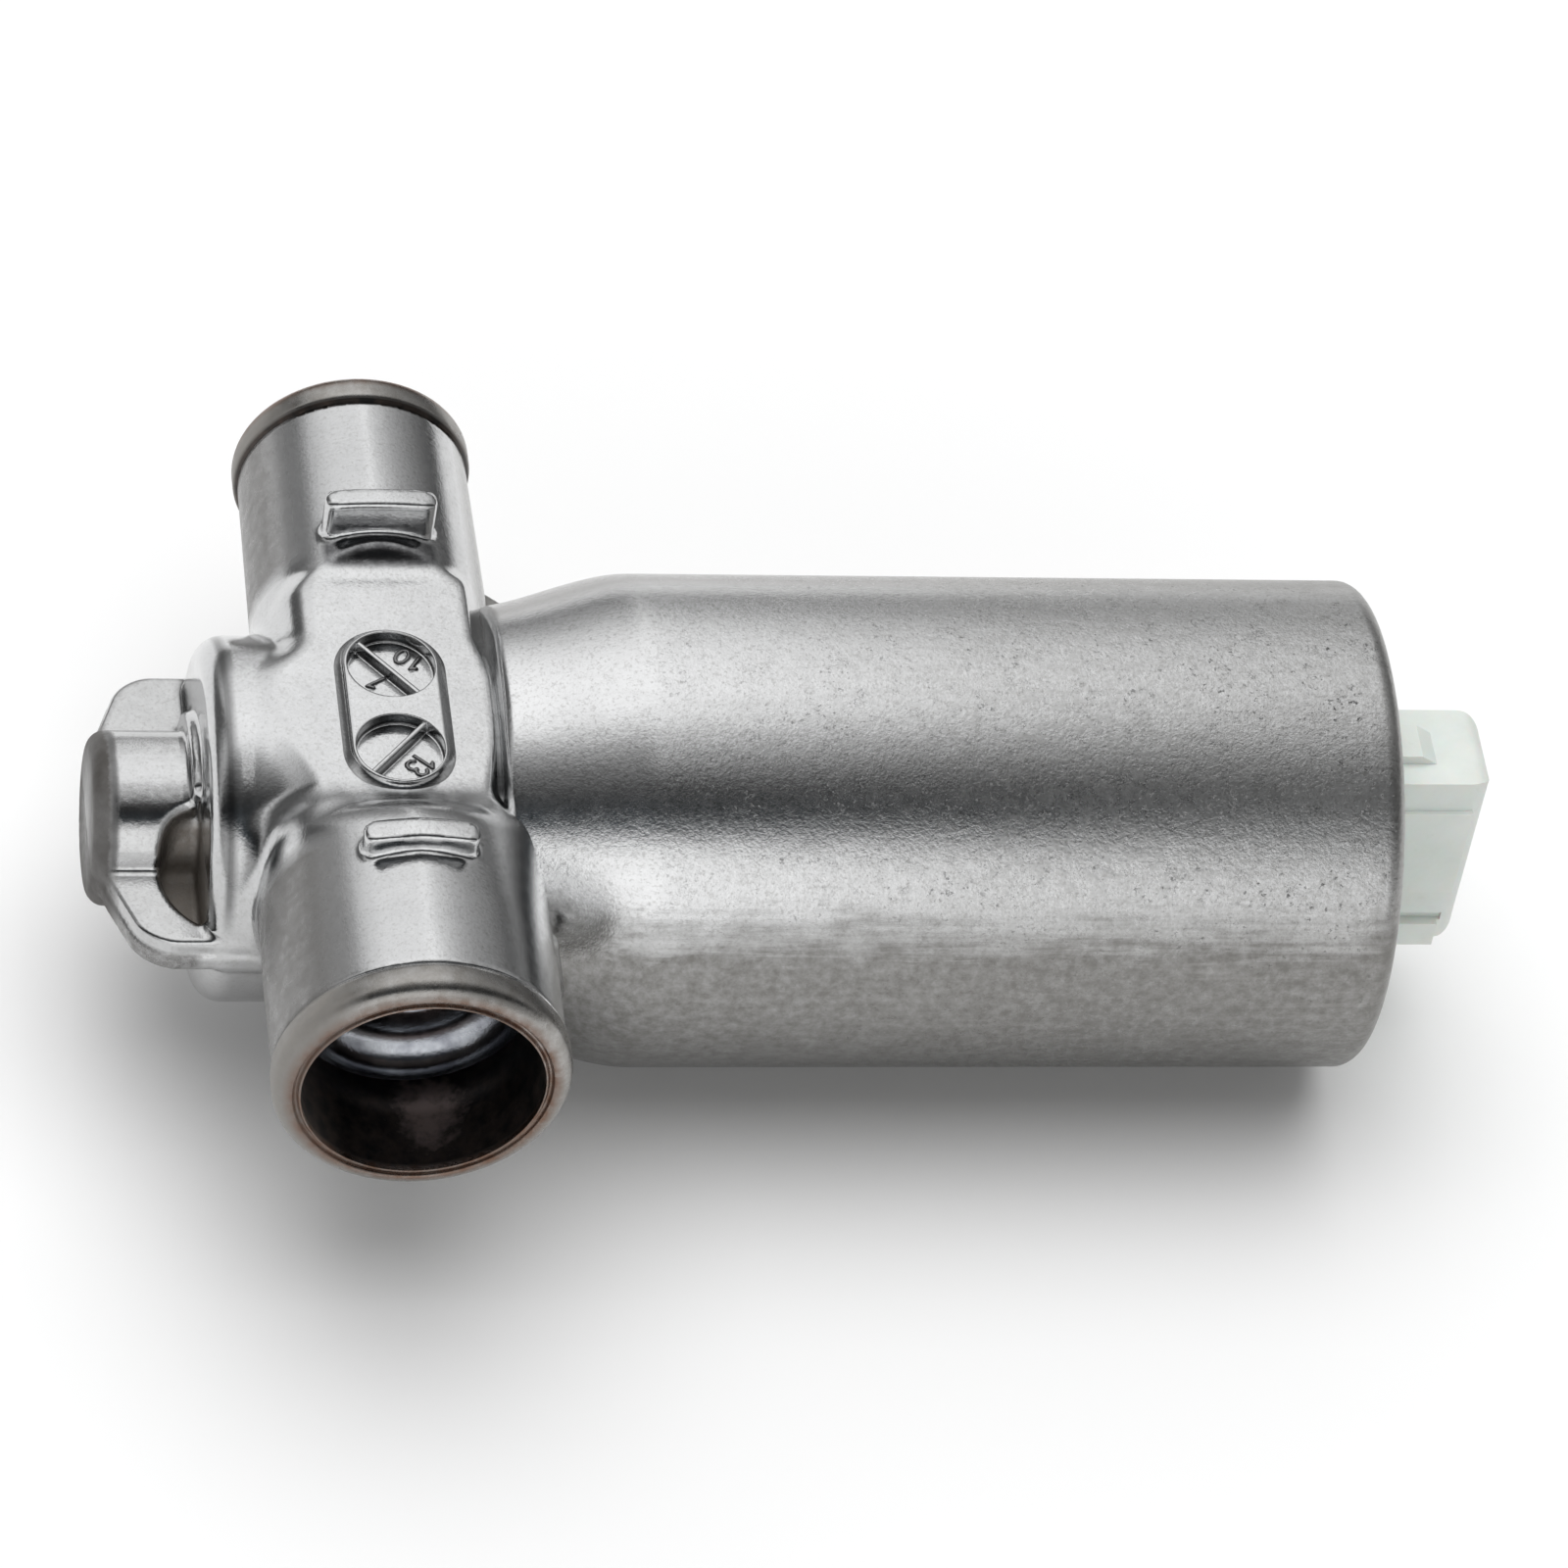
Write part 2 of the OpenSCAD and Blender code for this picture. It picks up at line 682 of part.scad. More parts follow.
valve_housing();
rotary_slider();
slider_pin();
armature_shaft();
end_bush();
partition_plate();
shaft_seal();
partition_ring();
flux_ring();
magnet_front();
magnet_back();
magnet_clips();
armature_core();
winding_front();
winding_back();
contact_carrier();
contact_1();
contact_2();
contact_3();
brush_1();
brush_2();
brush_3();
brush_spring_1();
brush_spring_2();
brush_spring_3();
brush_plate();
bearing_outer();
bearing_inner();
bearing_balls();
bearing_cage();
shaft_clip();
wave_washer();
connector_cap();
cap_seal();
terminal_1();
terminal_2();
terminal_3();
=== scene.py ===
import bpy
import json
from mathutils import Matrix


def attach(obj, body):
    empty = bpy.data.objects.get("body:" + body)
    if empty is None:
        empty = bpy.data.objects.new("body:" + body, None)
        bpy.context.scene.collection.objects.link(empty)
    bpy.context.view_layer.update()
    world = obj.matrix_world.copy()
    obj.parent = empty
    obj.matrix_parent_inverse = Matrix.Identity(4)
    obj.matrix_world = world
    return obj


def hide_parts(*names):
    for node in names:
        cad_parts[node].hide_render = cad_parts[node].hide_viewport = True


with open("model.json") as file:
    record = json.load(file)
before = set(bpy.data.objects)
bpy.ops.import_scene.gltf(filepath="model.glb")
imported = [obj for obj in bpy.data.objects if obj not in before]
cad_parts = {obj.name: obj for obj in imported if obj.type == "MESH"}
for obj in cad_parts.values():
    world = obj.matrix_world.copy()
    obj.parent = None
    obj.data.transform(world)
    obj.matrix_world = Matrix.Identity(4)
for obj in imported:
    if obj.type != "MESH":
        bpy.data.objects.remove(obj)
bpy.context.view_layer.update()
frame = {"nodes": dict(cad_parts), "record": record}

import json
import math

import bmesh
import bpy
import numpy as np
from mathutils import Matrix, Vector

mm = 0.001
nodes = frame["nodes"]
rise = 7.9    # nipple axis over the shaft axis; sizes below are in mm


# distance fields: round joins, round edges and the plain bodies that they join

def joined(a, b, r=0.01):
    return np.maximum(r, np.minimum(a, b)) - np.hypot(np.maximum(r - a, 0), np.maximum(r - b, 0))


def trimmed(a, b, r=0.01):
    return np.minimum(-r, np.maximum(a, b)) + np.hypot(np.maximum(r + a, 0), np.maximum(r + b, 0))


def cut(a, b, r=0.01):
    return trimmed(a, -b, r)


def rodX(p, x0, x1, r, edge=0.3):
    return trimmed(trimmed(np.hypot(p[1], p[2]) - r, x0 - p[0], edge), p[0] - x1, edge)


def rodZ(p, x, y, z0, z1, r, edge=0.2):
    return trimmed(trimmed(np.hypot(p[0] - x, p[1] - y) - r, z0 - p[2], edge), p[2] - z1, edge)


def block(p, low, high, edge=0.3):
    q = [abs(p[i] - (low[i] + high[i]) / 2) - (high[i] - low[i]) / 2 + edge for i in range(3)]
    outer = np.sqrt(np.maximum(q[0], 0) ** 2 + np.maximum(q[1], 0) ** 2 + np.maximum(q[2], 0) ** 2)
    return outer + np.minimum(np.maximum(np.maximum(q[0], q[1]), q[2]), 0) - edge


def stroke(x, y, ax, ay, bx, by):
    # distance to the line from a to b
    along = ((x - ax) * (bx - ax) + (y - ay) * (by - ay)) / ((bx - ax) ** 2 + (by - ay) ** 2)
    along = np.clip(along, 0, 1)
    return np.hypot(x - ax - along * (bx - ax), y - ay - along * (by - ay))


def linked(piece):
    bpy.context.scene.collection.objects.link(piece)
    return piece


def gridLine(first, *marks):
    # places from the first to each mark in turn, with the step before that mark
    line = [first]
    for step, last in zip(marks[::2], marks[1::2]):
        count = math.ceil((last - line[-1]) / (step * 1))
        line.extend(np.linspace(line[-1], last, count + 1)[1:])
    return np.array(line)


def surfaceOf(field, lines, name):
    # a net of quads on a grid, its points then moved onto the field's zero
    count = np.array([len(line) for line in lines])
    axes = np.meshgrid(*lines, indexing="ij", sparse=True)
    value = np.broadcast_to(field(axes), tuple(count)).astype(np.float32)
    inside = value < 0
    corners = [(i, j, k) for i in (0, 1) for j in (0, 1) for k in (0, 1)]
    filled = np.zeros(tuple(count - 1), np.int8)
    for i, j, k in corners:
        filled += inside[i:count[0] - 1 + i, j:count[1] - 1 + j, k:count[2] - 1 + k]
    active = (filled > 0) & (filled < 8)
    cell = np.argwhere(active)
    number = np.full(active.shape, -1, np.int64)
    number[active] = np.arange(len(cell))
    total, hits = np.zeros((len(cell), 3)), np.zeros(len(cell))
    for corner in corners:
        for axis in range(3):
            if corner[axis]:
                continue
            unit = np.arange(3) == axis
            a, b = value[tuple((cell + corner).T)], value[tuple((cell + corner + unit).T)]
            cross = (a < 0) != (b < 0)
            share = np.where(cross, a / np.where(cross, a - b, 1), 0)
            spot = cell + corner + share[:, None] * unit
            spot = np.stack([np.interp(spot[:, i], np.arange(count[i]), lines[i]) for i in range(3)], 1)
            total += np.where(cross[:, None], spot, 0)
            hits += cross
    points = total / hits[:, None]
    step = np.diff(lines[0]).min()
    for turn in range(3):
        here = field(points.T)
        nudge = 0.02 * step
        ahead = [field((points + nudge * (np.arange(3) == i)).T) for i in range(3)]
        slope = np.stack([(value - here) / nudge for value in ahead], 1)
        shift = -here[:, None] * slope / np.maximum((slope ** 2).sum(1), 0.05)[:, None]
        reach = np.maximum(np.linalg.norm(shift, axis=1)[:, None], 1e-9)
        points = points + shift * np.minimum(1, 0.35 * step / reach)
    quads = []
    for axis in range(3):
        u, v = (axis + 1) % 3, (axis + 2) % 3
        size = [count[i] - (i == axis) for i in range(3)]
        start = [int(i == axis) for i in range(3)]
        first = inside[:size[0], :size[1], :size[2]]
        edge = np.argwhere(first != inside[start[0]:, start[1]:, start[2]:])
        keep = (edge[:, u] > 0) & (edge[:, v] > 0)
        keep &= (edge[:, u] < count[u] - 1) & (edge[:, v] < count[v] - 1)
        edge = edge[keep]
        ring = []
        for du, dv in ((-1, -1), (0, -1), (0, 0), (-1, 0)):
            other = edge.copy()
            other[:, u] += du
            other[:, v] += dv
            ring.append(number[tuple(other.T)])
        ring = np.stack(ring, 1)
        quads.append(np.where(first[tuple(edge.T)][:, None], ring, ring[:, ::-1]))
    quads = np.concatenate(quads)
    mesh = bpy.data.meshes.new(name)
    mesh.vertices.add(len(points))
    mesh.vertices.foreach_set("co", (points * mm).astype(np.float32).ravel())
    mesh.loops.add(quads.size)
    mesh.loops.foreach_set("vertex_index", quads.astype(np.int32).ravel())
    mesh.polygons.add(len(quads))
    mesh.polygons.foreach_set("loop_start", np.arange(0, quads.size, 4, dtype=np.int32))
    mesh.polygons.foreach_set("use_smooth", np.ones(len(quads), bool))
    mesh.update(calc_edges=True)
    mesh.validate()
    print(name, len(quads), "quads")
    return linked(bpy.data.objects.new(name, mesh))


def turnedTree():
    # geometry nodes: sweeps a profile of radius and place round an axis
    tree = bpy.data.node_groups.new("turnedShell", "GeometryNodeTree")
    for label, kind in (("Geometry", "NodeSocketGeometry"), ("Segments", "NodeSocketInt"),
                        ("Path Radius", "NodeSocketFloat"), ("Material", "NodeSocketMaterial")):
        tree.interface.new_socket(label, in_out="INPUT", socket_type=kind)
    tree.interface.new_socket("Geometry", in_out="OUTPUT", socket_type="NodeSocketGeometry")
    made = {}
    for label, kind in (("input", "NodeGroupInput"), ("profile", "GeometryNodeMeshToCurve"),
                        ("path", "GeometryNodeCurvePrimitiveCircle"), ("sweep", "GeometryNodeCurveToMesh"),
                        ("real", "GeometryNodeRealizeInstances"), ("finish", "GeometryNodeSetMaterial"),
                        ("output", "NodeGroupOutput")):
        made[label] = tree.nodes.new(kind)
    for source, sourceSocket, target, targetSocket in (
            ("input", "Geometry", "profile", "Mesh"), ("input", "Segments", "path", "Resolution"),
            ("input", "Path Radius", "path", "Radius"), ("path", "Curve", "sweep", "Curve"),
            ("profile", "Curve", "sweep", "Profile Curve"), ("sweep", "Mesh", "real", "Geometry"),
            ("real", "Geometry", "finish", "Geometry"), ("input", "Material", "finish", "Material"),
            ("finish", "Geometry", "output", "Geometry")):
        tree.links.new(made[source].outputs[sourceSocket], made[target].inputs[targetSocket])
    return tree


def setInputs(modifier, values):
    sockets = {item.name: item.identifier for item in modifier.node_group.interface.items_tree
               if item.item_type == "SOCKET" and item.in_out == "INPUT"}
    for label, value in values.items():
        modifier[sockets[label]] = value


def frozen(piece):
    # the evaluated object as a plain mesh, with its modifiers removed
    graph = bpy.context.evaluated_depsgraph_get()
    mesh = bpy.data.meshes.new_from_object(piece.evaluated_get(graph))
    piece.modifiers.clear()
    piece.data = mesh
    return piece


def facedOut(mesh):
    shape = bmesh.new()
    shape.from_mesh(mesh)
    bmesh.ops.remove_doubles(shape, verts=shape.verts, dist=1e-7)
    bmesh.ops.recalc_face_normals(shape, faces=shape.faces)
    shape.to_mesh(mesh)
    shape.free()


def turnedShell(name, outline, place, material, segments=256):
    # outline is a closed ring of (radius, place along the axis) in mm
    path = 20.0
    mesh = bpy.data.meshes.new(name + "Outline")
    count = len(outline)
    mesh.from_pydata([((r - path) * mm, -a * mm, 0) for r, a in outline],
                     [(i, (i + 1) % count) for i in range(count)], [])
    piece = linked(bpy.data.objects.new(name, mesh))
    sweep = piece.modifiers.new("turned", "NODES")
    sweep.node_group = bpy.data.node_groups.get("turnedShell") or turnedTree()
    setInputs(sweep, {"Segments": segments, "Path Radius": path * mm, "Material": material})
    frozen(piece)
    piece.data.transform(place)
    facedOut(piece.data)
    for face in piece.data.polygons:
        face.use_smooth = True
    print(name, len(piece.data.polygons), "faces")
    return piece


def arc(centre, r, start, end, steps):
    turns = [math.radians(start + (end - start) * i / steps) for i in range(steps + 1)]
    return [(centre[0] + r * math.cos(t), centre[1] + r * math.sin(t)) for t in turns]


alongX = Matrix.Rotation(math.pi / 2, 4, "Y")
alongWide = Matrix.Translation((0, 0, rise * mm)) @ Matrix.Rotation(math.pi / 2, 4, "X")
alongSlim = Matrix.Translation((0, 0, rise * mm)) @ Matrix.Rotation(-math.pi / 2, 4, "X")


# shader maths: a socket with the operators that the materials use

class Wire:
    def __init__(self, paint, socket):
        self.paint = paint
        self.socket = socket

    def math(self, operation, *others):
        values = dict(enumerate((self,) + others))
        return self.paint.node("ShaderNodeMath", {"operation": operation}, values)

    def __add__(self, other): return self.math("ADD", other)
    def __mul__(self, other): return self.math("MULTIPLY", other)
    def __sub__(self, other): return self.math("SUBTRACT", other)
    def __rsub__(self, other): return (self * -1) + other
    __radd__ = __add__
    __rmul__ = __mul__


class Paint:
    def __init__(self, name, world=None):
        self.owner = world or bpy.data.materials.new(name)
        self.owner.use_nodes = True
        self.tree = self.owner.node_tree
        self.tree.nodes.clear()

    def node(self, kind, settings=None, values=None, out=0):
        made = self.tree.nodes.new(kind)
        for label, value in (settings or {}).items():
            if label == "stops":
                ramp = made.color_ramp
                while len(ramp.elements) < len(value):
                    ramp.elements.new(1)
                for element, (place, tone) in zip(ramp.elements, value):
                    element.position = place
                    element.color = (tone, tone, tone, 1) if isinstance(tone, (int, float)) else (*tone, 1)
            else:
                setattr(made, label, value)
        for label, value in (values or {}).items():
            if isinstance(value, Wire):
                self.tree.links.new(value.socket, made.inputs[label])
            else:
                made.inputs[label].default_value = value
        return Wire(self, made.outputs[out]) if made.outputs else None

    def place(self, scale=(1, 1, 1), shift=(0, 0, 0)):
        # object coordinates in millimetres
        spot = self.node("ShaderNodeTexCoord", out="Object")
        return self.node("ShaderNodeMapping", {}, {"Vector": spot, "Location": shift,
                                                   "Scale": [1000 * s for s in scale]})

    def noise(self, where, size, detail=2, rough=0.5, warp=0):
        return self.node("ShaderNodeTexNoise", {}, {"Vector": where, "Scale": 1 / size, "Detail": detail,
                                                    "Roughness": rough, "Distortion": warp})

    def ramp(self, value, stops):
        return self.node("ShaderNodeValToRGB", {"stops": stops}, {"Fac": value})

    def spread(self, value, low, high, first=0, last=1):
        return self.node("ShaderNodeMapRange", {}, {"Value": value, "From Min": low, "From Max": high,
                                                    "To Min": first, "To Max": last})

    def mix(self, share, a, b, way="MIX"):
        values = {0: share, 6: a, 7: b}
        return self.node("ShaderNodeMix", {"data_type": "RGBA", "blend_type": way}, values, out=2)

    def axes(self, where):
        made = self.tree.nodes.new("ShaderNodeSeparateXYZ")
        self.tree.links.new(where.socket, made.inputs[0])
        return [Wire(self, made.outputs[i]) for i in range(3)]

    def finish(self, colour, rough, metal=0.0, height=None, depth=0.1, **fixed):
        values = {"Base Color": colour, "Roughness": rough, "Metallic": metal}
        values.update({label.replace("_", " "): value for label, value in fixed.items()})
        if height is not None:
            values["Normal"] = self.node("ShaderNodeBump", {}, {"Height": height, "Distance": depth * mm,
                                                                "Strength": 1.0})
        shader = self.node("ShaderNodeBsdfPrincipled", {}, values)
        self.node("ShaderNodeOutputMaterial", {}, {"Surface": shader})
        return self.owner


def grey(tone):
    return (tone, tone, tone, 1)


casting = {
    "colour": (0.62, 0.625, 0.63, 1), "shade": (0.53, 0.535, 0.54, 1), "far": (0.53, 0.53, 0.525, 1),
    "worn": (0.40, 0.395, 0.385, 1), "bright": (0.80, 0.805, 0.81, 1), "dark": (0.10, 0.10, 0.10, 1),
    "sand": (0.30, 0.27, 0.24, 1), "brown": (0.17, 0.10, 0.07, 1), "boreReflection": (0.55, 0.42, 0.38, 1),
    "paintedShade": (0.19, 0.185, 0.175, 1), "edge": (0.07, 0.065, 0.06, 1), "flankShade": (0.13, 0.125, 0.12, 1),
    "bead": (0.26, 0.245, 0.225, 1), "boreDark": (0.03, 0.03, 0.03, 1), "boreBrown": (0.09, 0.07, 0.06, 1),
    "recess": (0.12, 0.12, 0.12, 1), "throatDark": (0.25, 0.26, 0.29, 1), "throatPale": (0.45, 0.47, 0.5, 1),
    "slopeShade": (0.12, 0.12, 0.125, 1), "roughLeft": 0.12, "roughRight": 0.32, "grain": 0.32, "cloud": 5.0,
    "blotch": 1.3, "pit": 0.62, "speck": 0.42, "scratch": 1.0, "streak": 0.9, "depth": 0.03,
}


def castMetal(name, place=""):
    s = casting
    p = Paint(name)
    where = p.place()
    x, y, z = p.axes(where)
    cloud = p.noise(where, s["cloud"], 4, 0.6)
    grain = p.noise(where, s["grain"], 3, 0.65)
    blotch = p.noise(where, s["blotch"], 5, 0.7)
    wear = p.spread(x, -5, 95)    # duller and more pitted towards the plug
    pits = p.ramp(p.noise(where, s["pit"], 4, 0.7), [(0.0, 1.0), (0.33, 1.0), (0.4, 0.0), (1.0, 0.0)])
    pitted = pits * p.spread(cloud, 0.4, 0.6) * (wear * 0.9 + 0.1)
    colour = p.mix(p.spread(cloud, 0.3, 0.7, 0, 0.5), s["colour"], s["shade"])
    colour = p.mix(wear * 0.8, colour, s["far"])
    colour = p.mix(p.spread(blotch, 0.4, 0.7, 0, 0.55) * (wear * 0.85 + 0.1), colour, s["worn"])
    colour = p.mix(p.spread(grain, 0.35, 0.7, 0, 0.5) * (wear * 0.7 + 0.3), colour, s["bright"])
    colour = p.mix(p.spread(x, 60, 14, 0, 0.7) * p.spread(x, 9, 11), colour, s["bright"])
    speck = p.spread(p.noise(where, s["speck"], 3, 0.7), 0.52, 0.66)
    colour = p.mix(speck * (wear * 0.3 + 0.4), colour, s["worn"])
    # fine dark lines where a noise crosses its middle
    line = (p.noise(where, s["scratch"], 4, 0.65) - 0.5).math("ABSOLUTE")
    scratch = p.spread(line, 0.022, 0.004) * p.spread(p.noise(where, 2.2, 4, 0.7), 0.5, 0.62)
    scratch = scratch * (wear * 0.65 + 0.1)
    colour = p.mix(scratch, colour, s["dark"])
    colour = p.mix(pitted * 0.85, colour, s["dark"])
    rough = p.spread(wear, 0, 1, s["roughLeft"], s["roughRight"]) + p.spread(blotch, 0.3, 0.7, -0.04, 0.06)
    rough = rough + pitted * 0.25
    height = grain * (wear * 1.05 + 0.45) + blotch * (wear * 1.8 + 0.3) - pitted * 0.7
    # painted shade on the barrel's lower side, back edge and plug-end rim, along the rounded edges at the
    # ends of the chamber and the boss and on the nipples' left flanks; dark end of the boss and darker lower
    # half of the web's end
    streak = p.noise(p.place((0.07, 1, 1)), s["streak"], 4, 0.65)
    level = z + (cloud - 0.5) * 7 + (streak - 0.5) * 8
    # painted shade: the lower side of the barrel darkened
    lower = p.spread(level, 11.8, 6.2, 0, 0.86) * p.spread(x, -16, 10, 0.25, 1)
    lower = lower * p.spread(blotch, 0.3, 0.65, 0.8, 1.15)
    colour = p.mix(lower, colour, s["paintedShade"])
    colour = p.mix(p.spread(streak, 0.5, 0.75, 0, 0.4) * wear, colour, s["worn"])
    # painted shade on the rounded rim at the plug end
    colour = p.mix(p.spread(x, 98.6, 99.8, 0, 0.6), colour, s["paintedShade"])
    # painted shade along the back edge of the barrel
    back = p.spread(y + p.spread(x, 26, 12, 0, 2.5), 9.8, 13.8) * p.spread(x, 9.5, 11)
    back = back * p.spread(z, -2, 4)
    colour = p.mix(back * 0.8, colour, s["paintedShade"])
    rim = p.spread(x + p.spread(blotch, 0.3, 0.7, -0.3, 0.3), -26.8, -28.0)
    around = p.node("ShaderNodeVectorMath", {"operation": "LENGTH"}, {0: p.place((0, 1, 1))}, out=1)
    rim = rim * p.spread(around, 1, 7.5, 0.5, 1) * p.spread(cloud, 0.3, 0.7, 0.8, 1)
    colour = p.mix(rim, colour, s["edge"])
    # painted shade along the rounded edge of the chamber's end and round the boss near its end
    edgeShade = p.spread(x, -17.4, -17.0) * p.spread(x, -16.0, -16.7) * p.spread(around, 13, 15)
    ring = p.spread(x, -27.9, -27.5) * p.spread(x, -26.8, -27.2) * p.spread(around, 9.2, 8.9)
    edgeShade = edgeShade * p.spread(z, 2, 6) + ring
    colour = p.mix(edgeShade * 0.7, colour, s["dark"])
    # painted shade on the left flanks of the nipples
    flankShade = p.spread(x, -6.5, -10.5) * p.spread(y.math("ABSOLUTE"), 18.6, 21)
    flankShade = flankShade * p.spread(blotch, 0.3, 0.7, 0.75, 0.95)
    colour = p.mix(flankShade, colour, s["flankShade"])
    slab = p.spread(z, 0.2, -0.3) * p.spread(x, -18.8, -20.0) * p.spread(blotch, 0.3, 0.7, 0.35, 0.8)
    colour = p.mix(slab, colour, s["edge"])
    metal = 1 - (rim * 0.9 + flankShade * 0.85 + slab * 0.5 + back * 0.8)
    rough = rough + rim * 0.5 + flankShade * 0.2 + slab * 0.2
    if place == "mouth":
        radius = p.node("ShaderNodeVectorMath", {"operation": "LENGTH"},
                        {0: p.place((1, 0, 1), (0, 0, -rise))}, out=1)
        depth = y.math("ABSOLUTE")
        ring = p.spread(radius, 12.9, 13.9, 1, 0) * p.spread(depth, 41.8, 42.6)
        tone = p.spread(p.noise(where, 1.6, 4, 0.6), 0.35, 0.65)
        bead = p.spread(depth, 38.9, 39.9) * (tone * 0.25 + 0.65)
        colour = p.mix(bead, colour, s["bead"])
        rough = rough + bead * 0.16
        colour = p.mix(ring * (tone * 0.5 + 0.45), colour, s["brown"])
        # painted shade inside the bores, tinted brown
        wall = p.spread(radius, 11.96, 12.2, 1, 0) * p.spread(depth, 42.7, 42.2)
        colour = p.mix(wall, colour, p.mix(tone, s["boreDark"], s["boreBrown"]))
        # painted reflection on the floor of the bore
        spot = p.place((0.31, 0.2, 0), (-0.71, 7.1, 0))
        patch = p.node("ShaderNodeVectorMath", {"operation": "LENGTH"}, {0: spot}, out=1)
        patch = p.spread(patch + tone * 0.8, 1.5, 0.7, 0, 0.65) * p.spread(z, 1, 0) * wall
        colour = p.mix(patch, colour, s["boreReflection"])
        rough = rough + wall * 0.2 + patch * 0.2
    elif place == "dial":
        # painted shade on the dial floors and round the foot of the raised digits
        low = p.spread(z, 17.84, 17.9) * p.spread(z, 18.5, 18.2)
        colour = p.mix(low * 0.85, colour, s["recess"])
    else:
        # sandy pocket by the boss; painted shade in the wide nipple's throat
        centre = p.place((1, 1, 0), (14.4, 8.8, 0))
        hole = p.node("ShaderNodeVectorMath", {"operation": "LENGTH"}, {0: centre}, out=1)
        sand = p.spread(hole, 8.4, 7.7) * p.spread(y, -4.6, -5.6) * p.spread(x, -15.2, -16.4)
        sand = sand * p.spread(z, 6.5, 4.5) * p.spread(z, -2.1, -1.6)
        tone = p.spread(p.noise(where, 0.8, 4, 0.65), 0.3, 0.7)
        colour = p.mix(sand * (tone * 0.3 + 0.7), colour, s["sand"])
        rough = rough + sand * 0.38
        height = height + p.noise(where, 0.5, 4, 0.7) * sand * 3
        radius = p.node("ShaderNodeVectorMath", {"operation": "LENGTH"},
                        {0: p.place((1, 0, 1), (0, 0, -rise))}, out=1)
        # painted shade, bluish, in the wide nipple's throat
        throat = p.spread(radius, 12.02, 12.3, 1, 0) * p.spread(y, -24.2, -25)
        throatShade = p.spread(p.noise(where, 4, 3, 0.6), 0.4, 0.6)
        throatShade = p.mix(throatShade, s["throatDark"], s["throatPale"])
        colour = p.mix(throat, colour, throatShade)
        # painted shade on the slope behind the pad, below the slim nipple's stop
        slopeShade = p.spread(y, 17.0, 17.8) * p.spread(y, 20.9, 20.2) * p.spread(x.math("ABSOLUTE"), 6.4, 5.6)
        slopeShade = slopeShade * p.spread(z, 18.4, 18.8) * p.spread(blotch, 0.3, 0.6, 0.6, 0.95)
        colour = p.mix(slopeShade, colour, s["slopeShade"])
    return p.finish(colour, rough, metal, height, s["depth"])


castBody = {
    "chamberRadius": 18.4, "chamberLeft": -18.7, "chamberRight": 8.2, "chamberRound": 2.9,
    "neckRadius": 17.4, "neckEnd": 9.6, "neckPlace": 8, "boreRadius": 14.6, "boreLeft": -16.4,
    "plateRadius": 15.5, "plateStart": 6.6,
    "padLeft": -9.8, "padFront": -15.0, "padBack": 17.2, "padTop": 18.35, "padEdge": 0.35,
    "wideRoot": 14.0, "wideEnd": 14.45, "wideInner": -9.2, "wideSeam": -39.3, "wideBore": 11.95,
    "wideFloor": -28.0, "crestPlace": -15.9, "crestHeight": 20.3, "crestSlope": 55.0,
    "slimRoot": 12.3, "slimEnd": 11.8, "slimSeam": 40.0, "slimBore": 9.9, "slimFloor": 28.0,
    "portRadius": 5.2, "scoopSlope": 39.0, "scoopStart": 17.2, "dialHole": 4.8,
    "bossRadius": 8.8, "bossEnd": -29.4, "bossRound": 1.8, "collarRadius": 10.7, "collarEnd": -19.8,
    "webHalf": 18.2, "webTop": 1.6, "webBottom": -2.5, "webLeft": -28.7, "webRight": -13,
    "webFront": (-28.31, -8.81, -0.928, -0.372), "webBack": (-27.97, 9.91, -0.938, 0.347),
    "pocketX": -14.4, "pocketY": -8.8, "pocketRadius": 8.2, "pocketFloor": -1.3, "pocketBack": -5.0,
    "pocketHub": 6.8,
    "wideStop": (-24.9, -22.2, 16.3, 0.4), "slimStop": (20.9, 23.3, 16.1, 0.0), "stopHalf": 5.7,
    "stopCorner": 1.1, "gussetLow": (8, 14, 4), "gussetHigh": (16, 26, 7),
    "flashLow": (13.0, -30.7, 6.2), "flashHigh": (15.1, -23.2, 8.8),
    "knocks": ((-23.8, 0.9), (-26.0, 0.75), (-28.0, 0.95)),
}


def endForm(p):
    # bearing boss with its collar and the web with the pocket
    s = castBody
    x, y, z = p
    edges = [(x - ax) * nx + (y - ay) * ny for ax, ay, nx, ny in (s["webFront"], s["webBack"])]
    plan = trimmed(trimmed(edges[0], edges[1], 0.5), abs(y) - s["webHalf"], 3.0)
    plan = trimmed(trimmed(plan, s["webLeft"] - x, 1.0), x - s["webRight"], 0.1)
    upper = trimmed(trimmed(plan, z - s["webTop"], 0.6), -0.3 - z, 0.3)
    lower = trimmed(trimmed(plan - 0.35, z + 0.1, 0.5), s["webBottom"] - z, 0.9)
    boss = rodX(p, s["bossEnd"], -15, s["bossRadius"], s["bossRound"])
    form = joined(np.minimum(upper, lower), boss, 0.5)
    form = joined(form, rodX(p, s["collarEnd"], -15, s["collarRadius"], 0.5), 0.5)
    pocket = rodZ(p, s["pocketX"], s["pocketY"], s["pocketFloor"], 14, s["pocketRadius"], 1.0)
    pocket = trimmed(pocket, y - s["pocketBack"], 2.0)
    return cut(form, cut(pocket, np.hypot(y, z) - s["pocketHub"], 1.0), 0.7)


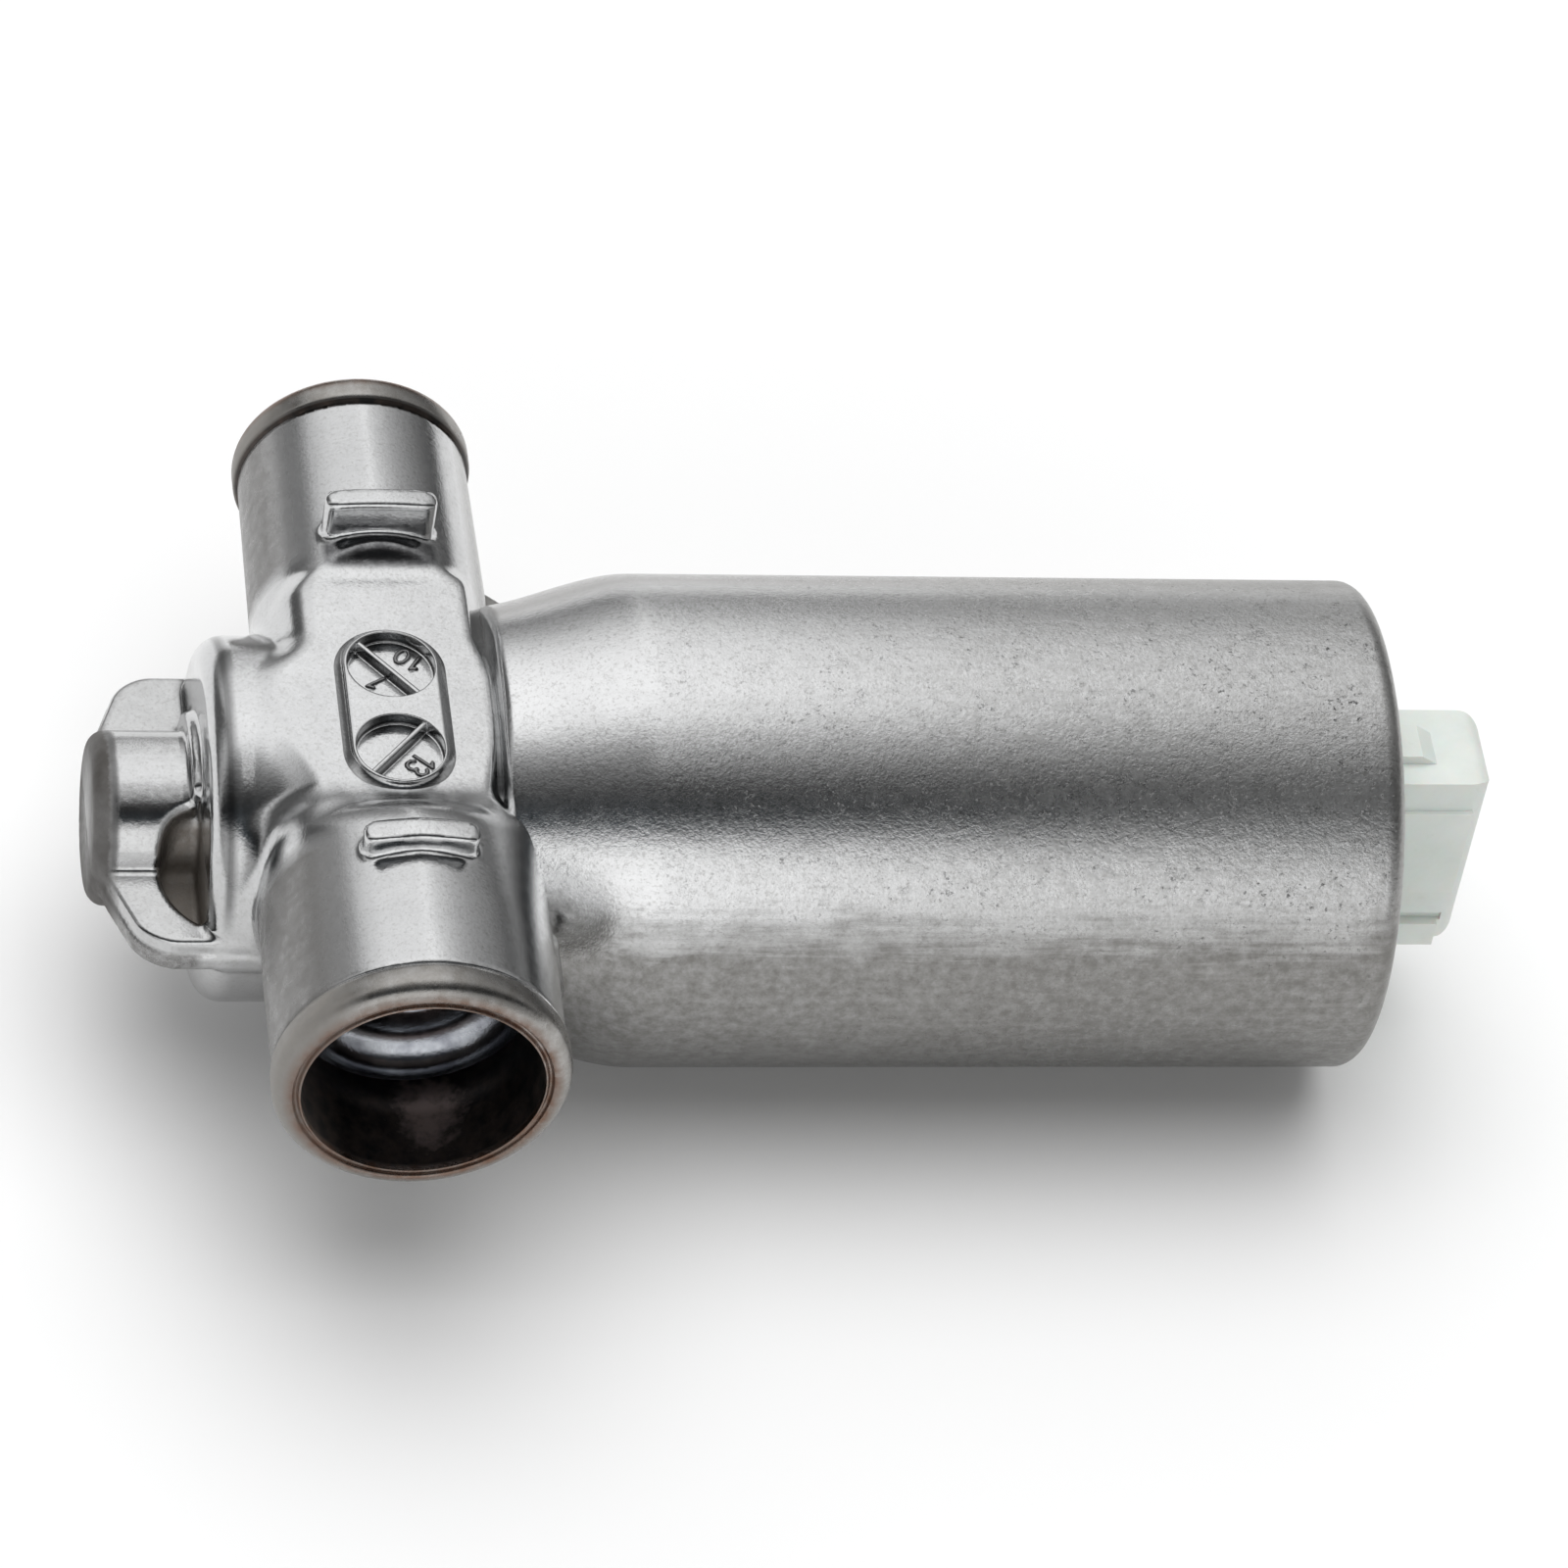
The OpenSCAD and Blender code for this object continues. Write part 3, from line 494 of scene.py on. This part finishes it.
def hoseStop(p, y0, y1, crown, notch):
    # bar across a nipple, its top round about the nipple's axis
    x, y, z = p
    half, deep, corner = castBody["stopHalf"], (y1 - y0) / 2, castBody["stopCorner"]
    bend = notch * (1 - np.minimum(abs(x) / half, 1))
    qx, qy = abs(x) - half + corner, abs(y - (y0 + y1) / 2 - bend) - deep + corner
    plan = np.hypot(np.maximum(qx, 0), np.maximum(qy, 0)) + np.minimum(np.maximum(qx, qy), 0) - corner
    return trimmed(trimmed(plan, np.hypot(x * 0.6, z - rise) - crown, 0.4), rise + 5 - z, 0.1)


def castField(p):
    s = castBody
    x, y, z = p
    around = np.hypot(y, z)
    base = trimmed(around - s["chamberRadius"], s["chamberLeft"] - x, s["chamberRound"])
    base = trimmed(base, x - s["chamberRight"], 0.5)
    pad = trimmed(trimmed(s["padLeft"] - x, z - s["padTop"], 3.5), y - s["padBack"], 3.0)
    pad = trimmed(trimmed(trimmed(pad, s["padFront"] - y, 0.7), x - s["chamberRight"], 0.5), -z, 0.1)
    base = joined(base, pad, 1.3 + 3.7 * np.clip((9 - y) / 6, 0, 1))
    slimRadius = s["slimRoot"] + (s["slimEnd"] - s["slimRoot"]) * np.clip((y - 9) / 30, 0, 1)
    slim = trimmed(np.hypot(x, z - rise) - slimRadius, y - s["slimSeam"], 0.25)
    base = joined(base, np.maximum(slim, 6 - y), 2.0)
    # the pad's flat top and the slope up to the slim nipple's crest
    slope = math.radians(s["scoopSlope"])
    above = (y - s["scoopStart"]) * math.sin(slope) - (z - s["padTop"]) * math.cos(slope)
    base = cut(base, trimmed(s["padTop"] - z, above, 0.8), s["padEdge"])
    # wide nipple with its round inner end and its crest set back
    wideRadius = s["wideRoot"] + (s["wideEnd"] - s["wideRoot"]) * np.clip((-9 - y) / 20, 0, 1)
    wide = trimmed(np.hypot(x, z - rise) - wideRadius, y - s["wideInner"], 3.7)
    slope = math.radians(s["crestSlope"])
    crest = (z - s["crestHeight"]) * math.cos(slope) + (y - s["crestPlace"]) * math.sin(slope)
    wide = trimmed(trimmed(wide, crest, 3.0), s["wideSeam"] - y, 0.25)
    body = joined(base, wide, 2.8)
    neck = abs(x - s["neckPlace"]) - s["neckEnd"] + s["neckPlace"]
    body = joined(body, np.maximum(around - s["neckRadius"], neck), 0.5)
    body = joined(body, endForm(p), 0.8)
    body = joined(body, hoseStop(p, *s["wideStop"]), 0.5)
    body = joined(body, hoseStop(p, *s["slimStop"]), 0.5)
    slant = (x - 11.6) * 0.651 + (y - 26) * 0.759
    gusset = trimmed(block(p, s["gussetLow"], s["gussetHigh"], 0.3), slant, 0.4)
    body = joined(body, gusset, 0.4)
    # flash on the right of the wide nipple and knocks on its left
    body = joined(body, block(p, s["flashLow"], s["flashHigh"], 0.7), 0.8)
    for place, size in s["knocks"]:
        knock = np.sqrt((x + 15.0) ** 2 + (y - place) ** 2 * 0.7 + (z - 8.6) ** 2 * 0.25) - size
        body = cut(body, knock, 0.3)
    # bores
    body = cut(body, rodX(p, s["boreLeft"], 20, s["boreRadius"]))
    body = cut(body, rodX(p, s["plateStart"], 20, s["plateRadius"]), 0.1)
    body = cut(body, trimmed(np.hypot(x, z - rise) - s["wideBore"], y - s["wideFloor"], 3.6))
    body = cut(body, trimmed(np.hypot(x, z - rise) - s["slimBore"], s["slimFloor"] - y, 2.5))
    body = cut(body, np.hypot(x, z - rise) - s["portRadius"], 0.4)
    for dial in dialPlate["dials"]:
        body = cut(body, rodZ(p, dial["x"], dial["y"], 17.0, 21, s["dialHole"], 0.05))
    return body


# glyph strokes of height 1 round their middle
glyphs = {
    "0": [(0.29 * math.cos(a * 0.6283), 0.5 * math.sin(a * 0.6283),
           0.29 * math.cos((a + 1) * 0.6283), 0.5 * math.sin((a + 1) * 0.6283)) for a in range(10)],
    "1": [(0, 0.5, 0, -0.5), (0, 0.5, -0.24, 0.3)],
    "3": [],
}
bowl = arc((-0.02, 0.24), 0.25, 155, -80, 6) + arc((-0.02, -0.24), 0.27, 80, -155, 6)
glyphs["3"] = [a + b for a, b in zip(bowl, bowl[1:])]

# oval boss with two date dials; each glyph has its middle, its right hand and its height
dialPlate = {
    "x": -0.32, "y": -2.36, "half": 5.6, "radius": 4.75, "flare": 0.85, "top": 19.3, "base": 16.9,
    "floor": 17.8, "dialRadius": 4.42, "ribTop": 19.0, "ribHalf": 0.24, "markHalf": 0.17, "markHeight": 0.26,
    "dials": [
        {"x": -0.27, "y": 3.26, "normal": (0.776, 0.631), "shift": -0.29,
         "marks": [("1", 2.65, 1.41, (-0.818, 0.575), 2.0), ("0", 1.43, 2.28, (-0.818, 0.575), 2.0),
                   ("1", -1.5, -1.25, (-0.5, 0.86), 2.1)]},
        {"x": -0.28, "y": -7.97, "normal": (0.757, -0.654), "shift": -0.24,
         "marks": [("1", 2.3, -0.85, (-0.69, -0.725), 2.3), ("3", 1.6, -1.74, (-0.69, -0.725), 2.3)]},
    ],
}


def markDistance(x, y, dial):
    # distance in the plane to the dial's raised glyphs
    best = 9.0
    for sign, cx, cy, hand, size in dial["marks"]:
        dx, dy = (x - dial["x"] - cx) / size, (y - dial["y"] - cy) / size
        u, v = dx * hand[0] + dy * hand[1], dy * hand[0] - dx * hand[1]
        for line in glyphs[sign]:
            best = np.minimum(best, stroke(u, v, *line) * size)
    return best


def dialField(p):
    s = dialPlate
    x, y, z = p
    plan = np.hypot(x - s["x"], np.maximum(abs(y - s["y"]) - s["half"], 0)) - s["radius"]
    plan = plan - s["flare"] * np.clip((s["top"] - z) / 0.95, 0, 1.3) ** 2
    form = trimmed(trimmed(plan, z - s["top"], 0.25), s["base"] - z, 0.05)
    for dial in s["dials"]:
        hole = trimmed(np.hypot(x - dial["x"], y - dial["y"]) - s["dialRadius"], s["floor"] - z, 0.15)
        across = (x - dial["x"]) * dial["normal"][0] + (y - dial["y"]) * dial["normal"][1]
        rib = abs(across - dial["shift"]) - s["ribHalf"] - 0.1 * (s["ribTop"] - z)
        rib = trimmed(rib, z - s["ribTop"], 0.1)
        mark = trimmed(markDistance(x, y, dial) - s["markHalf"], z - s["floor"] - s["markHeight"], 0.06)
        form = cut(form, cut(hole, np.minimum(rib, mark), 0.05), 0.06)
    return form


print("casting")
metal = castMetal("castAluminium")
shadedStainedMetal = castMetal("castShadedStained", "mouth")
dialMetal = castMetal("castDialMetal", "dial")
lines = [gridLine(-30.6, 0.32, -14.8, 0.46, 18), gridLine(-40.6, 0.47, -19, 0.35, -3, 0.47, 41.4),
         gridLine(-20, 0.8, -3.5, 0.32, 3.1, 0.47, 26.6)]
body = surfaceOf(castField, lines, "castBody")
body.data.materials.append(metal)

barrel = {"radius": 25.0, "end": 100.8, "rim": 2.0, "inner": 22.5, "lip": 20.8, "start": 25.5,
          "neck": 17.38, "neckStart": 9.3, "shoulder": 21.7, "shoulderStart": 10.2, "edge": 1.2,
          "recess": 19.8, "recessStart": 13, "floor": 24, "bore": 15.6}


def barrelOutline():
    s = barrel
    grow = s["radius"] - s["shoulder"]
    first = s["shoulderStart"] + s["edge"]
    sweep = []
    for i in range(25):
        t = i / 24
        radius = s["shoulder"] + grow * t * (0.81 + t * (1.38 - 1.19 * t))
        sweep.append((radius, first + (s["start"] - first) * t))
    length = s["end"] - s["rim"] - s["start"]
    wall = [(s["radius"], s["start"] + length * i / 40) for i in range(1, 41)]
    rim = arc((s["radius"] - s["rim"], s["end"] - s["rim"]), s["rim"], 0, 90, 12)[1:]
    return ([(s["bore"], s["neckStart"]), (s["neck"], s["neckStart"]), (s["neck"], s["shoulderStart"] - 0.3),
             (s["neck"] + 0.3, s["shoulderStart"])]
            + arc((s["shoulder"] - s["edge"], first), s["edge"], -90, -20, 8) + sweep + wall + rim
            + [(s["lip"] + 0.4, s["end"]), (s["lip"], s["end"] - 0.4), (s["lip"], s["end"] - 1.5),
               (s["inner"], s["end"] - 1.6), (s["inner"], s["floor"]), (s["recess"], s["floor"]),
               (s["recess"], s["recessStart"]), (s["bore"], s["recessStart"])])


shell = turnedShell("castBarrel", barrelOutline(), alongX, metal, 288)


def mouthOutline(r, bead, bore, seam, end, bend, groove):
    # from the seam over the bead and round the face, then down the bore as a sleeve
    lip = bead - bend
    face = [(lip, end)]
    if groove:
        face += [(lip - 0.1, end - 0.25), (lip - 0.25, end - 0.55), (bore + 0.37, end - 0.55),
                 (bore + 0.27, end - 0.3)]
    return ([(bore + 0.5, 29.5), (bore + 0.5, seam), (r, seam), (r, seam + 0.12),
             (bead - 0.12, seam + 0.35), (bead, seam + 0.7)]
            + arc((lip, end - bend), bend, 0, 90, 12)[:-1] + face
            + arc((bore + 0.15, end - 0.15), 0.15, 90, 180, 4) + [(bore, 36), (bore, 29.5)])


wide = {"r": 14.42, "bead": 14.72, "bore": 11.93, "seam": 39.3, "end": 43.1, "bend": 1.9, "groove": True}
slim = {"r": 11.8, "bead": 12.25, "bore": 9.9, "seam": 40.0, "end": 43.7, "bend": 1.6, "groove": False}
wideMouth = turnedShell("castWideMouth", mouthOutline(**wide), alongWide, shadedStainedMetal, 256)
slimMouth = turnedShell("castSlimMouth", mouthOutline(**slim), alongSlim, shadedStainedMetal, 224)

dials = surfaceOf(dialField, [gridLine(-6.9, 0.13, 6.3), gridLine(-14.9, 0.13, 10.2),
                              gridLine(16.6, 0.25, 17.6, 0.1, 19.6)], "castDials")
dials.data.materials.append(dialMetal)

for piece in (body, shell, wideMouth, slimMouth, dials):
    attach(piece, "housing")
    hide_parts("valve_housing")

# the pieces kept from the construction model, by material slot; sizes in mm
slotPaint = {
    "nylon": {"low": (0.64, 0.69, 0.65), "high": (0.73, 0.77, 0.74), "spot": (0.52, 0.56, 0.47),
              "metal": 0.0, "rough": (0.38, 0.52), "cloud": 9.0, "grain": 0.5, "stretch": (1, 1, 1),
              "depth": 0.008, "spots": 0.3},
    "steel": {"low": (0.5, 0.5, 0.52), "high": (0.64, 0.64, 0.66), "spot": (0.28, 0.24, 0.21),
              "metal": 1.0, "rough": (0.2, 0.34), "cloud": 3.0, "grain": 0.25, "stretch": (7, 0.8, 0.8),
              "depth": 0.004, "spots": 0.5},
    "iron": {"low": (0.3, 0.29, 0.29), "high": (0.43, 0.42, 0.42), "spot": (0.2, 0.11, 0.07),
             "metal": 1.0, "rough": (0.42, 0.6), "cloud": 4.0, "grain": 0.5, "stretch": (6, 0.2, 0.2),
             "depth": 0.012, "spots": 0.6},
    "ferrite": {"low": (0.05, 0.05, 0.055), "high": (0.1, 0.1, 0.105), "spot": (0.17, 0.165, 0.16),
                "metal": 0.0, "rough": (0.55, 0.75), "cloud": 3.5, "grain": 0.3, "stretch": (1, 1, 1),
                "depth": 0.012, "spots": 0.4},
    "copper": {"low": (0.62, 0.36, 0.22), "high": (0.78, 0.5, 0.34), "spot": (0.26, 0.15, 0.09),
               "metal": 1.0, "rough": (0.24, 0.4), "cloud": 2.0, "grain": 0.2, "stretch": (0.5, 3, 3),
               "depth": 0.004, "spots": 0.55},
    "bronze": {"low": (0.52, 0.38, 0.2), "high": (0.66, 0.5, 0.29), "spot": (0.16, 0.11, 0.06),
               "metal": 1.0, "rough": (0.34, 0.5), "cloud": 2.5, "grain": 0.22, "stretch": (1, 1, 1),
               "depth": 0.01, "spots": 0.8},
    "carbon": {"low": (0.03, 0.03, 0.032), "high": (0.07, 0.07, 0.072), "spot": (0.14, 0.12, 0.1),
               "metal": 0.0, "rough": (0.4, 0.6), "cloud": 1.5, "grain": 0.16, "stretch": (1, 1, 1),
               "depth": 0.006, "spots": 0.5},
    "dark_plastic": {"low": (0.03, 0.03, 0.034), "high": (0.055, 0.055, 0.06), "spot": (0.1, 0.095, 0.09),
                     "metal": 0.0, "rough": (0.4, 0.55), "cloud": 5.0, "grain": 0.3, "stretch": (1, 1, 1),
                     "depth": 0.006, "spots": 0.35},
    "rubber": {"low": (0.02, 0.02, 0.021), "high": (0.045, 0.044, 0.043), "spot": (0.1, 0.09, 0.08),
               "metal": 0.0, "rough": (0.6, 0.8), "cloud": 3.0, "grain": 0.35, "stretch": (1, 1, 1),
               "depth": 0.012, "spots": 0.5},
}


def kept(label, s):
    p = Paint(label + "Kept")
    where = p.place()
    cloud = p.noise(where, s["cloud"], 4, 0.6)
    grain = p.noise(p.place([1 / k for k in s["stretch"]]), s["grain"], 3, 0.6)
    fleck = p.spread(p.noise(where, s["cloud"] * 0.22, 5, 0.72), 0.6, 0.74)
    colour = p.mix(p.spread(cloud, 0.3, 0.7), (*s["low"], 1), (*s["high"], 1))
    colour = p.mix(p.spread(grain, 0.4, 0.75, 0, 0.25), colour, (*s["high"], 1))
    colour = p.mix(fleck * s["spots"], colour, (*s["spot"], 1))
    rough = p.spread(grain, 0.25, 0.75, *s["rough"]) + fleck * 0.1
    extra = {"Subsurface Weight": 0.25, "Subsurface Scale": 0.002} if label == "nylon" else {}
    return p.finish(colour, rough, s["metal"], grain + cloud * 0.4 - fleck * 0.6, s["depth"], **extra)


winding = {"colour": (0.42, 0.15, 0.06, 1), "bright": (0.60, 0.27, 0.12, 1), "gap": (0.07, 0.03, 0.02, 1),
           "pitch": 0.42, "round": 0.12}


def windingPaint():
    # turns of lacquered wire that run along the sides and round the ends of a coil
    s = winding
    p = Paint("copper_wireKept")
    where = p.place()
    x, y, z = p.axes(where)
    drift = p.noise(where, 2.2, 3, 0.6)
    turns = (z * (6.2832 / s["pitch"]) + drift * 2.4).math("SINE") * 0.5 + 0.5
    colour = p.mix(p.spread(drift, 0.35, 0.65), s["colour"], s["bright"])
    # painted shade in the gaps between the turns
    colour = p.mix(p.spread(turns, 0.28, 0.0, 0, 0.85), colour, s["gap"])
    rough = p.spread(drift, 0.3, 0.7, 0.2, 0.32) + p.spread(turns, 0.3, 0, 0, 0.3)
    return p.finish(colour, rough, 1.0, turns.math("POWER", 0.5), s["round"])


print("kept pieces")
slotMaterials = {label: kept(label, s) for label, s in slotPaint.items()}
slotMaterials["copper_wire"] = windingPaint()
slotMaterials["cast_aluminium"] = metal
for entry in frame["record"]["subparts"]:
    for holder in nodes[entry["node"]].material_slots:
        holder.material = slotMaterials[entry["material_slot"]]

print("stage")
floorPaint = Paint("floorPaper")
floorPaint.finish(grey(0.94), 0.9, 0.0)
floorMesh = bpy.data.meshes.new("floor")
reach, ground = 4.0, -0.0252
floorMesh.from_pydata([(-reach, -reach, ground), (reach, -reach, ground), (reach, reach, ground),
                       (-reach, reach, ground)], [], [(0, 1, 2, 3)])
floorMesh.materials.append(floorPaint.owner)
floor = linked(bpy.data.objects.new("floor", floorMesh))

world = bpy.data.worlds.new("studio")
bpy.context.scene.world = world
sky = Paint("studio", world)
direction = sky.node("ShaderNodeTexCoord", out="Generated")
skyX, skyY, skyZ = sky.axes(direction)
pitch = skyZ.math("ARCTAN2", skyY * -1) * (180 / math.pi)    # 0 in front, 90 overhead, 180 behind
turn = sky.spread(pitch, -180, 180)
# brightness by pitch, for the crisp and the soft dark band, and by the direction along the shaft
nearStops = ((-180, 0.4), (-45, 0.4), (-20, 0.6), (-5, 0.95), (3, 1.25), (29, 1.25), (35, 1.0), (41, 0.15),
             (46, 0.01), (64, 0.01), (69, 0.25), (73, 1.0), (77, 1.25), (160, 1.2), (174, 0.8), (180, 0.4))
farStops = ((-180, 0.3), (-45, 0.35), (-20, 0.5), (-5, 0.85), (3, 1.1), (29, 1.12), (37, 0.8),
            (42, (0.1, 0.11, 0.12)), (47, (0.033, 0.04, 0.046)), (60, 0.045), (69, 0.13), (79, 0.26),
            (87, 0.5), (95, 0.95), (104, 1.08), (124, 1.06), (135, 0.96), (148, 0.76), (161, 0.4),
            (180, 0.15))
sideStops = [(0.0, 0.35), (0.1, 0.5), (0.22, 0.85), (0.33, 1.12), (0.575, 1.14), (0.6, 1.0), (0.64, 0.86),
             (0.7, 0.62), (0.78, 0.45), (1.0, 0.3)]
nearBand = sky.ramp(turn, [((degrees + 180) / 360, tone) for degrees, tone in nearStops])
farBand = sky.ramp(turn, [((degrees + 180) / 360, tone) for degrees, tone in farStops])
side = sky.ramp(sky.spread(skyX, -1, 1), sideStops)
# only the chamber sees the crisp dark band
crisp = sky.spread(skyX, 0.085, 0.105) * sky.spread(skyX, 0.142, 0.13)
band = sky.mix(crisp, farBand, nearBand)
light = sky.mix(1.0, band, side, "MULTIPLY")
light = sky.mix(sky.spread(skyX, -0.52, -0.68) * sky.spread(skyY, 0.2, 0.45), light, grey(0.12))
shine = sky.node("ShaderNodeBackground", {}, {"Color": light, "Strength": 1.0})
sky.node("ShaderNodeOutputWorld", {}, {"Surface": shine})

lamp = bpy.data.lights.new("softLamp", "AREA")
lamp.shape = "DISK"
lamp.size = 1.8
lamp.energy = 17.0
lampHolder = linked(bpy.data.objects.new("softLamp", lamp))
lampHolder.matrix_world = Matrix.Translation((0.0, 0.1, 1.4))
lampHolder.visible_camera = False
lampHolder.visible_glossy = False

view = bpy.data.cameras.new("photoView")
view.type = "PERSP"
view.sensor_width = 36.0
view.lens = 202.5
view.shift_x = -(882.19 - 800) / 1600
view.shift_y = (838.25 - 800) / 1600
view.clip_end = 50
right = Vector((0.98246, -0.12309, 0.14010))
up = Vector((-0.00445, 0.73554, 0.67746))
back = right.cross(up)
camera = linked(bpy.data.objects.new("photoView", view))
camera.matrix_world = Matrix(((right.x, up.x, back.x, -0.117512), (right.y, up.y, back.y, -0.598559),
                              (right.z, up.z, back.z, 0.648770), (0, 0, 0, 1)))
bpy.context.scene.camera = camera

scene = bpy.context.scene
scene.view_settings.view_transform = "Standard"
